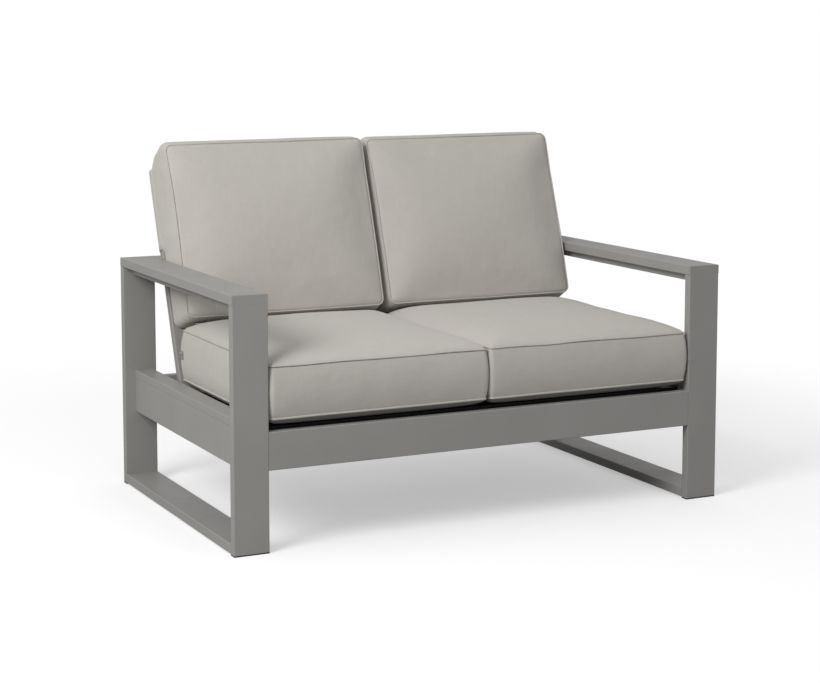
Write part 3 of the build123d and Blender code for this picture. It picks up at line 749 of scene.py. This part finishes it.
def makeCordTree():
    # A round cord that follows a seam, and remembers how far along and around it each point is
    sockets = (
        ("Radius", "NodeSocketFloat"),
        ("Sides", "NodeSocketInt"),
        ("Spacing", "NodeSocketFloat"),
        ("Material", "NodeSocketMaterial"),
    )
    tree, given = newTree("cord_along_a_seam", sockets)
    length = addNode(tree, "GeometryNodeSplineParameter").outputs["Length"]
    inputs = {"Geometry": evenLine(tree, given), "Name": "along", "Value": length}
    line = addNode(tree, "GeometryNodeStoreNamedAttribute", inputs, domain="POINT")
    inputs = {"Resolution": given["Sides"], "Radius": given["Radius"]}
    circle = addNode(tree, "GeometryNodeCurvePrimitiveCircle", inputs)
    turn = addNode(tree, "GeometryNodeSplineParameter").outputs["Factor"]
    inputs = {"Geometry": circle, "Name": "around", "Value": turn}
    ring = addNode(tree, "GeometryNodeStoreNamedAttribute", inputs, domain="POINT")
    tube = addNode(tree, "GeometryNodeCurveToMesh", {0: line, 1: ring, "Fill Caps": True})
    return endTree(tree, tube, given["Material"])


def makeBeadTree():
    # Rounded beads in a row, such as stitches or zip teeth, that lie along a line and face out
    sockets = (
        ("Size", "NodeSocketVector"),
        ("Spacing", "NodeSocketFloat"),
        ("Material", "NodeSocketMaterial"),
    )
    tree, given = newTree("beads_in_a_row", sockets)
    tangent = addNode(tree, "GeometryNodeInputTangent")
    inputs = {"Name": "out"}
    outward = addNode(tree, "GeometryNodeInputNamedAttribute", inputs, data_type="FLOAT_VECTOR")
    turn = addNode(
        tree,
        "FunctionNodeAxesToRotation",
        {0: tangent, 1: outward},
        primary_axis="X",
        secondary_axis="Z",
    )
    ball = addNode(tree, "GeometryNodeMeshIcoSphere", {"Radius": 0.5, "Subdivisions": 2})
    inputs = {
        "Points": evenLine(tree, given),
        "Instance": ball,
        "Rotation": turn,
        "Scale": given["Size"],
    }
    beads = addNode(tree, "GeometryNodeInstanceOnPoints", inputs)
    return endTree(tree, beads, given["Material"])


cordTree = makeCordTree()
beadTree = makeBeadTree()


def lineHelper(lines, closed, outs=None):
    # Edges for a tree to follow; outs are the directions that face away from the cushion
    mesh = bpy.data.meshes.new("helper")
    points, edges = [], []
    for line in lines:
        at = len(points)
        points += [tuple(p) for p in line]
        edges += [(at + k, at + k + 1) for k in range(len(line) - 1)]
        if closed:
            edges.append((at + len(line) - 1, at))
    mesh.from_pydata(points, edges, [])
    if outs is not None:
        facing = mesh.attributes.new("out", "FLOAT_VECTOR", "POINT")
        facing.data.foreach_set("vector", np.concatenate(outs).astype(np.float32).ravel())
    return linked("helper", mesh)


def grownFrom(tree, helper, name, values):
    # Runs a tree on a helper and keeps its result as a plain mesh
    modifier = helper.modifiers.new("tree", "NODES")
    modifier.node_group = tree
    for item in tree.interface.items_tree:
        if item.name in values and item.in_out == "INPUT":
            modifier[item.identifier] = values[item.name]
    shown = helper.evaluated_get(bpy.context.evaluated_depsgraph_get())
    mesh = bpy.data.meshes.new_from_object(shown)
    mesh.name = name
    line = helper.data
    bpy.data.objects.remove(helper)
    bpy.data.meshes.remove(line)
    return linked(name, mesh)


cordSizes = {"Radius": 0.002, "Sides": 10, "Spacing": 0.003, "Material": cordCloth}
lowCordSizes = {**cordSizes, "Radius": 0.0027}
toothSizes = {"Size": (0.0013, 0.0052, 0.0014), "Spacing": 0.0022, "Material": coilStuff}
stitchSizes = {"Size": (0.0034, 0.0009, 0.0008), "Spacing": 0.0042, "Material": threadStuff}
tapeSizes = {
    "height": 0.022,
    "rows": 5,
    "gap": 0.0002,
    "thickness": 0.0008,
    "stitchInset": 0.0028,
    "toothLift": 0.0004,
    "stitchLift": 0.0001,
}


def facingLine(form, toWorld, share, grow, chosen=slice(None)):
    # A line round the band at a share of its height, and the way outwards at each of its points
    step = 0.001
    low, high = (toWorld(form.ring(share, grow + more)[chosen]) for more in (0, step))
    return low, (high - low) / step


def zipBand(form, ends, toWorld, chosen, name, body, closedBy):
    # The zip on the band of a cushion, between two shares of its height: a tape with its teeth
    # and a row of stitches on each edge
    shares = np.linspace(*ends, tapeSizes["rows"])
    rows = [form.ring(s, form.growAt(s) + tapeSizes["gap"])[chosen] for s in shares]
    points = toWorld(np.concatenate(rows))
    length = len(chosen)
    faces = [
        [r * length + k, r * length + k + 1, (r + 1) * length + k + 1, (r + 1) * length + k]
        for r in range(len(rows) - 1)
        for k in range(length - 1)
    ]
    mesh = bpy.data.meshes.new(name)
    mesh.from_pydata(points.tolist(), [], faces)
    mesh.materials.append(tapeStuff)
    mesh.shade_smooth()
    tape = linked(name, mesh)
    thickened(tape, tapeSizes["thickness"], 1)
    surface = tapeSizes["gap"] + tapeSizes["thickness"]
    middle = 0.5 * (ends[0] + ends[1])
    reach = (ends[1] - ends[0]) / 2
    edge = reach * (1 - 2 * tapeSizes["stitchInset"] / tapeSizes["height"])
    made = [tape]
    for title, offsets, sizes, lift in (
        ("teeth", (0,), toothSizes, tapeSizes["toothLift"]),
        ("stitches", (-edge, edge), stitchSizes, tapeSizes["stitchLift"]),
    ):
        lines, outs = [], []
        for offset in offsets:
            share = middle + offset
            grow = form.growAt(share) + surface + lift
            line, out = facingLine(form, toWorld, share, grow, chosen)
            lines.append(line)
            outs.append(out)
        helper = lineHelper(lines, False, outs)
        made.append(grownFrom(beadTree, helper, f"{name}_{title}", sizes))
    for piece in made:
        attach(piece, body)
    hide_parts(closedBy)


# Seat cushions


def seatRows():
    # The band bulges between its two piped seams
    shares = (1 - np.cos(np.linspace(0, math.pi, meshing["boxingRows"] + 1))) / 2
    inset = meshing["seamInset"]
    swell = np.sin(math.pi * shares) ** seatShape["bulgePower"]
    bulges = (seatShape["bulge"] + inset) * swell - inset
    return list(zip(shares, bulges))


def makeSeat(side, sideName):
    shape = seatShape
    body = f"{sideName}_seat"
    seed = shape["seed"] * side
    middleX, middleY = side * shape["middle"][0], shape["middle"][1]
    halfX, halfY = shape["width"] / 2, shape["depth"] / 2
    height = shape["highSeam"] - shape["lowSeam"]

    def toWorld(points):
        return np.asarray(points) + np.array([middleX, middleY, 0])

    def settle(points):
        # The upper seam runs a little unevenly, the crown stands highest towards the rear, and
        # the lower seam sags beside the slats
        above = (points[:, 2] - shape["lowSeam"]) / height
        waviness = seamLooks["seatWaviness"] * np.clip(2 * above - 1, 0, 1)
        moved = waved(points, seed, waviness[:, None], seamLooks["waveSize"])
        crowned = np.clip((points[:, 2] - shape["highSeam"]) / shape["crown"], 0, 1)
        lifted = crowned * stepped(points[:, 1], 0, shape["rearLiftFull"] * halfY)
        beside = stepped(side * points[:, 0], shape["sagStart"] * halfX, halfX)
        behind = stepped(points[:, 1] + halfY, 0, shape["sagFull"] * shape["depth"])
        sagging = np.clip(1 - 2 * np.abs(above), 0, 1) * beside * behind
        moved[:, 2] += shape["rearLift"] * lifted - shape["sideSag"] * sagging
        return moved

    form = Cushion(
        (shape["width"], shape["depth"]),
        shape["corner"],
        seatRows(),
        (lambda x, y: x * 0 + shape["lowSeam"], lambda x, y: x * 0 + shape["highSeam"]),
        (shape["lowCrown"], shape["crown"]),
        rounding=1.0,
        rearFullness=shape["lowFullness"],
        settle=settle,
    )
    # The underside lies flat on the slats
    under = slice(0, form.panelPoints)
    sunk = softLimit(-form.points[under, 2], -shape["restHeight"], shape["restMargin"])
    form.points[under, 2] = -sunk
    # The underside panel takes the darkened cloth, as painted shade
    piece = form.build(f"{sideName}_seat_cushion", toWorld, cushionCloth, undersideShadeCloth)
    place = coordinates(piece.data)
    pinned = np.zeros(len(place), bool)
    pinned[: form.panelPoints] = True
    pinned[form.loops[0]] = True
    pinned[form.loops[-1]] = True
    nearZip = np.abs(place[:, 2] - (shape["lowSeam"] + height / 2)) < shape["zipBand"]
    atRear = place[:, 1] > middleY + halfY - shape["zipDepth"]
    band = np.arange(len(place)) >= 2 * form.panelPoints
    pinned |= nearZip & atRear & band
    filled(piece, form, pinned, (0, 0, 1), shape["finalCrown"] - shape["crown"])
    place = coordinates(piece.data)
    # The cushions touch each other and the arms, and flatten a little there
    outer = softLimit(np.abs(place[:, 0]), shape["armGap"], shape["armMargin"])
    outer = -softLimit(-outer, -shape["neighbourGap"], shape["neighbourMargin"])
    place[:, 0] = side * outer
    for x, y, radius, depth in shape["dents"][sideName]:
        near = np.exp(-((place[:, 0] - x) ** 2 + (place[:, 1] - y) ** 2) / radius**2)
        onTop = place[:, 2] > shape["highSeam"] + shape["dentStart"]
        place[:, 2] -= np.where(onTop, near * depth, 0)
    setCoordinates(piece.data, place)
    subdivided(piece)
    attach(piece, body)
    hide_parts(f"{sideName}_seat_cover", f"{sideName}_seat_foam")

    # The lower cord is less drawn in, so more of it shows
    for share, title, sizes in ((0, "lower", lowCordSizes), (1, "upper", cordSizes)):
        seam = toWorld(form.ring(share, 0))
        seam = waved(seam, seed + share, cordLooks["waviness"], cordLooks["seatWaveSize"])
        helper = lineHelper([seam], True)
        piping = grownFrom(cordTree, helper, f"{sideName}_seat_{title}_welt", sizes)
        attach(piping, body)
        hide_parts(f"{sideName}_seat_piping")

    # The zip runs along the rear and round the outer corner
    atRear = np.isclose(form.rimY, halfY) & (side * form.rimX > -halfX + shape["zipInnerEnd"])
    atSide = np.isclose(side * form.rimX, halfX) & (form.rimY > halfY - shape["zipOuterEnd"])
    chosen = np.nonzero(atRear | atSide)[0]
    ends = [0.5 + way * tapeSizes["height"] / 2 / height for way in (-1, 1)]
    zipBand(form, ends, toWorld, chosen, f"{body}_zip", body, f"{body}_zip_tape")


# Back cushions


def slopePoint(points):
    # From the plane of the back frame, (across, up the slope, out of it), to the shared frame
    tilt = math.radians(backShape["tilt"])
    across, up, out = np.asarray(points).T
    y = backShape["foot"][0] + up * math.sin(tilt) - out * math.cos(tilt)
    z = backShape["foot"][1] + up * math.cos(tilt) + out * math.sin(tilt)
    return np.stack([across, y, z], axis=-1)


def backRows():
    # A rounded rear edge, then a band that draws in towards the front seam
    shape = backShape
    roundRows = meshing["roundRows"]
    depth = shape["seam"] - shape["rear"]
    flare, turn = shape["rearFlare"], shape["rearRound"]
    angles = np.linspace(0, math.pi / 2, roundRows)
    rows = [(turn * (1 - math.cos(a)) / depth, flare - turn + turn * math.sin(a)) for a in angles]
    shares = np.linspace(rows[-1][0], 1, meshing["boxingRows"] - roundRows + 2)[1:]
    span = (shares - rows[-1][0]) / (1 - rows[-1][0])
    slack = 4 * (shape["bulge"] - (flare - meshing["seamInset"]) / 2)
    bulges = flare * (1 - span) - meshing["seamInset"] * span + slack * span * (1 - span)
    return rows + list(zip(shares, bulges))


def rearLevel(x, y):
    # The rear of a back cushion, which rounds forward at the top
    turn = backShape["topRound"]
    share = np.clip((y - backShape["height"] / 2 + turn) / turn, 0, backShape["topRoundEnd"])
    return backShape["rear"] + turn * (1 - np.sqrt(1 - share**2))


def settleTop(form, side):
    # The band puffs up along the top, and runs flush into the hood on the outer side
    shape = backShape
    halfX, halfY = shape["width"] / 2, shape["height"] / 2
    x, y, out = form.points.T
    onBand = np.arange(len(x)) >= 2 * form.panelPoints
    start = shape["rear"] + shape["topRound"]
    share = np.clip((out - start) / (shape["seam"] - start), 0, 1)
    nearTop = stepped(y, halfY - shape["topBulgeZone"], halfY)
    skew, power = shape["topBulgePowers"]
    swell = np.sin(math.pi * share**skew) ** power
    form.points[:, 1] += onBand * nearTop * shape["topBulge"] * swell
    low, lowEnd, high, highEnd = (up - shape["middle"][1] for up in shape["hoodZone"])
    beside = stepped(y, low, lowEnd) * (1 - stepped(y, high, highEnd))
    forward = (out - shape["rear"]) / (shape["seam"] - shape["rear"])
    atRear = np.clip(1 - forward / shape["hoodFlareReach"], 0, 1) ** 2
    outside = side * x > halfX - shape["hoodFlareWidth"]
    form.points[:, 0] += side * outside * beside * atRear * shape["hoodFlare"]


def makeBack(side, sideName):
    shape = backShape
    body = f"{sideName}_back"
    seed = shape["seed"] * side
    middleX, middleY = side * shape["middle"][0], shape["middle"][1]
    lean = math.tan(math.radians(shape["seamLean"]))
    tilt = math.radians(shape["tilt"])
    halfX, halfY = shape["width"] / 2, shape["height"] / 2

    def toWorld(points):
        return slopePoint(np.asarray(points) + np.array([middleX, middleY, 0]))

    def frontLevel(x, y):
        # The front seam leans forward, bows in the middle and is twisted a little at the top
        twist = shape["twist"] * x / halfX * stepped(y, halfY - shape["twistZone"], halfY)
        return shape["seam"] + y * lean + shape["seamBow"] * (1 - (y / halfY) ** 2) + twist

    def settle(points):
        # The front seam runs a little unevenly, and the zip below it doesn't
        beyond = (points[:, 2] - shape["zipDistance"]) / (shape["seam"] - shape["zipDistance"])
        waviness = seamLooks["backWaviness"] * np.clip(beyond, 0, 1)
        return waved(points, seed, waviness[:, None], seamLooks["waveSize"])

    form = Cushion(
        (shape["width"], shape["height"]),
        shape["corner"],
        backRows(),
        (rearLevel, frontLevel),
        (0, shape["crown"]),
        rounding=shape["rounding"],
        settle=settle,
    )
    settleTop(form, side)
    piece = form.build(f"{sideName}_back_cushion", toWorld, cushionCloth)
    pinned = np.zeros(len(form.points), bool)
    pinned[: form.panelPoints] = True
    for loop in form.loops[: meshing["roundRows"]] + form.loops[-1:]:
        pinned[loop] = True
    nearZip = np.abs(form.points[:, 2] - shape["zipDistance"]) < shape["zipBand"]
    below = form.points[:, 1] < -halfY + shape["zipDepth"]
    band = np.arange(len(form.points)) >= 2 * form.panelPoints
    pinned |= nearZip & below & band
    outward = (0, -math.cos(tilt), math.sin(tilt))
    filled(piece, form, pinned, outward, shape["finalCrown"] - shape["crown"])
    subdivided(piece)
    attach(piece, body)
    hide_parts(f"{sideName}_back_cover", f"{sideName}_back_filling")

    seam = toWorld(form.ring(1, 0))
    seam = waved(seam, seed, cordLooks["waviness"], cordLooks["backWaveSize"])
    piping = grownFrom(cordTree, lineHelper([seam], True), f"{sideName}_back_welt", cordSizes)
    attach(piping, body)
    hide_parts(f"{sideName}_back_piping")

    # The zip runs along the underside
    under = np.isclose(form.rimY, -halfY)
    chosen = np.nonzero(under & (np.abs(form.rimX) < halfX - shape["zipEnd"]))[0]
    depth = shape["seam"] - shape["rear"]
    edges = [shape["zipDistance"] + way * tapeSizes["height"] / 2 for way in (-1, 1)]
    ends = [(edge - shape["rear"]) / depth for edge in edges]
    zipBand(form, ends, toWorld, chosen, f"{body}_zip", body, f"{body}_zip_tape")


# Hoods, the pockets that hang over the back frame
hoodShape = {
    "width": 0.5922,
    "depth": 0.0274,
    "corner": 0.0045,
    "topRound": 0.007,
    "middle": (0.3005, -0.012),  # across, and out from the back frame's plane
    "low": 0.3825,
    "high": 0.6133,
    "rows": 27,
    "thickness": 0.0012,
    "wave": 0.0011,  # at the hem
    "waveSize": 0.07,
    "topWave": 0.3,  # share of the hem's that is left at the top
    "hemRows": (0.008, 0.0125),  # heights of the two rows of stitches
    "stitchLift": 0.0004,
    "seed": 11,
}


def makeHood(side, sideName):
    shape = hoodShape
    body = f"{sideName}_back"
    middleX = side * shape["middle"][0]
    span = shape["high"] - shape["low"]

    def toWorld(points):
        x, rear, up = np.asarray(points).T
        return slopePoint(np.stack([middleX + x, up, shape["middle"][1] - rear], axis=-1))

    turn = shape["topRound"]
    angles = np.linspace(0, math.pi / 2, meshing["roundRows"])
    rounded = [(1 - turn * (1 - math.sin(a)) / span, -turn * (1 - math.cos(a))) for a in angles]
    rows = [(s, 0.0) for s in np.linspace(0, rounded[0][0], shape["rows"])] + rounded[1:]
    form = Cushion(
        (shape["width"], shape["depth"]),
        shape["corner"],
        rows,
        (lambda x, y: x * 0 + shape["low"], lambda x, y: x * 0 + shape["high"]),
        (0, 0),
        openRear=True,
        bandEnd=9.0,  # so its map has no crease beside a piping
    )
    # Slow waves in the cloth, most at the free hem
    free = 1 - np.clip((form.points[:, 2] - shape["low"]) / span, 0, 1)
    moved = waved(form.points, shape["seed"] * side, shape["wave"], shape["waveSize"])
    form.points[:, 1] += (moved - form.points)[:, 1] * (shape["topWave"] + free)
    hood = form.build(f"{sideName}_back_pocket", toWorld, cushionCloth)
    thickened(hood, shape["thickness"], -1)
    lines, outs = [], []
    for height in shape["hemRows"]:
        line, out = facingLine(form, toWorld, height / span, shape["stitchLift"])
        lines.append(line)
        outs.append(out)
    helper = lineHelper(lines, True, outs)
    stitches = grownFrom(beadTree, helper, f"{sideName}_hem_stitches", stitchSizes)
    for piece in (hood, stitches):
        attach(piece, body)
    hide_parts(f"{sideName}_back_hood")


for side, sideName in sides:
    makeSeat(side, sideName)
    makeBack(side, sideName)
    makeHood(side, sideName)
print("scene: cushions made")

# Floor and light
stageLooks = {
    "floorReach": 14,
    "floorDrop": 0.0002,
    "floor": "#d9d9d9",
    "bounce": "#a0a0a0",
    "lift": 0.42,  # the floor's own light, for the camera only
    "fade": (1.1, 2.6),  # from the floor's colour to white
    "skyLow": 0.47,
    "skyHigh": 0.62,
    "keyPower": 135,
    "keySize": 2.2,
    "keyPlace": (-3.8, -2.0, 3.0),
    "keyAim": (0, 0, 0.4),
}


def makeStage():
    # A pale floor that keeps the shadow and fades into the white backdrop away from the object
    material, tree, place = newMaterial("matt_white_studio_floor")
    seen = addNode(tree, "ShaderNodeLightPath").outputs["Is Camera Ray"]
    inputs = {0: seen, 6: srgb(stageLooks["bounce"]), 7: srgb(stageLooks["floor"])}
    tone = addNode(tree, "ShaderNodeMix", inputs, data_type="RGBA")
    inputs = {0: seen, 1: stageLooks["lift"]}
    lift = addNode(tree, "ShaderNodeMath", inputs, operation="MULTIPLY")
    inputs = {
        "Base Color": tone,
        "Roughness": 0.9,
        "Specular IOR Level": 0.0,
        "Emission Color": (1, 1, 1, 1),
        "Emission Strength": lift,
    }
    matt = addNode(tree, "ShaderNodeBsdfPrincipled", inputs)
    away = addNode(tree, "ShaderNodeVectorMath", {0: place}, operation="LENGTH")
    near, far = stageLooks["fade"]
    inputs = {"Value": away, "From Min": near, "From Max": far}
    fade = addNode(tree, "ShaderNodeMapRange", inputs, interpolation_type="SMOOTHSTEP")
    share = addNode(tree, "ShaderNodeMath", {0: fade, 1: seen}, operation="MULTIPLY")
    white = addNode(tree, "ShaderNodeEmission", {"Color": (1, 1, 1, 1), "Strength": 1.0})
    both = addNode(tree, "ShaderNodeMixShader", {0: share, 1: matt, 2: white})
    addNode(tree, "ShaderNodeOutputMaterial", {"Surface": both})
    half, level = stageLooks["floorReach"], -stageLooks["floorDrop"]
    mesh = bpy.data.meshes.new("floor")
    corners = [(x * half, y * half, level) for x, y in ((-1, -1), (1, -1), (1, 1), (-1, 1))]
    mesh.from_pydata(corners, [], [(0, 1, 2, 3)])
    mesh.materials.append(material)
    linked("floor", mesh)

    world = bpy.data.worlds.new("studio")
    scene.world = world
    world.use_nodes = True
    sky = world.node_tree
    sky.nodes.clear()
    seen = addNode(sky, "ShaderNodeLightPath").outputs["Is Camera Ray"]
    towards = addNode(sky, "ShaderNodeTexCoord").outputs["Generated"]
    height = addNode(sky, "ShaderNodeSeparateXYZ", {0: towards}).outputs["Z"]
    inputs = {"Value": height, "To Min": stageLooks["skyLow"], "To Max": stageLooks["skyHigh"]}
    glow = addNode(sky, "ShaderNodeMapRange", inputs)
    strength = addNode(sky, "ShaderNodeMapRange", {"Value": seen, "To Min": glow, "To Max": 1.0})
    inputs = {"Color": (1, 1, 1, 1), "Strength": strength}
    backdrop = addNode(sky, "ShaderNodeBackground", inputs)
    addNode(sky, "ShaderNodeOutputWorld", {"Surface": backdrop})

    key = bpy.data.lights.new("key", "AREA")
    key.energy = stageLooks["keyPower"]
    key.shape = "DISK"
    key.size = stageLooks["keySize"]
    lamp = bpy.data.objects.new("key", key)
    scene.collection.objects.link(lamp)
    lamp.location = stageLooks["keyPlace"]
    aim = Vector(stageLooks["keyAim"]) - lamp.location
    lamp.rotation_euler = aim.to_track_quat("-Z", "Y").to_euler()


makeStage()

# Camera, solved from the photograph
cameraLooks = {
    "place": (-2.2442, -4.5399, 1.2339),
    "pitch": 6.329,  # degrees down
    "yaw": 26.157,
    "lens": 83.49,
    "sensor": 36,
    "shift": -0.12,
}
camera = bpy.data.cameras.new("camera")
camera.sensor_width = cameraLooks["sensor"]
camera.lens = cameraLooks["lens"]
camera.shift_y = cameraLooks["shift"]
eye = bpy.data.objects.new("camera", camera)
scene.collection.objects.link(eye)
eye.location = cameraLooks["place"]
pitch, yaw = math.radians(90 - cameraLooks["pitch"]), math.radians(-cameraLooks["yaw"])
eye.rotation_euler = (pitch, 0, yaw)
scene.camera = eye
scene.view_settings.view_transform = "Standard"

print("scene: ready")
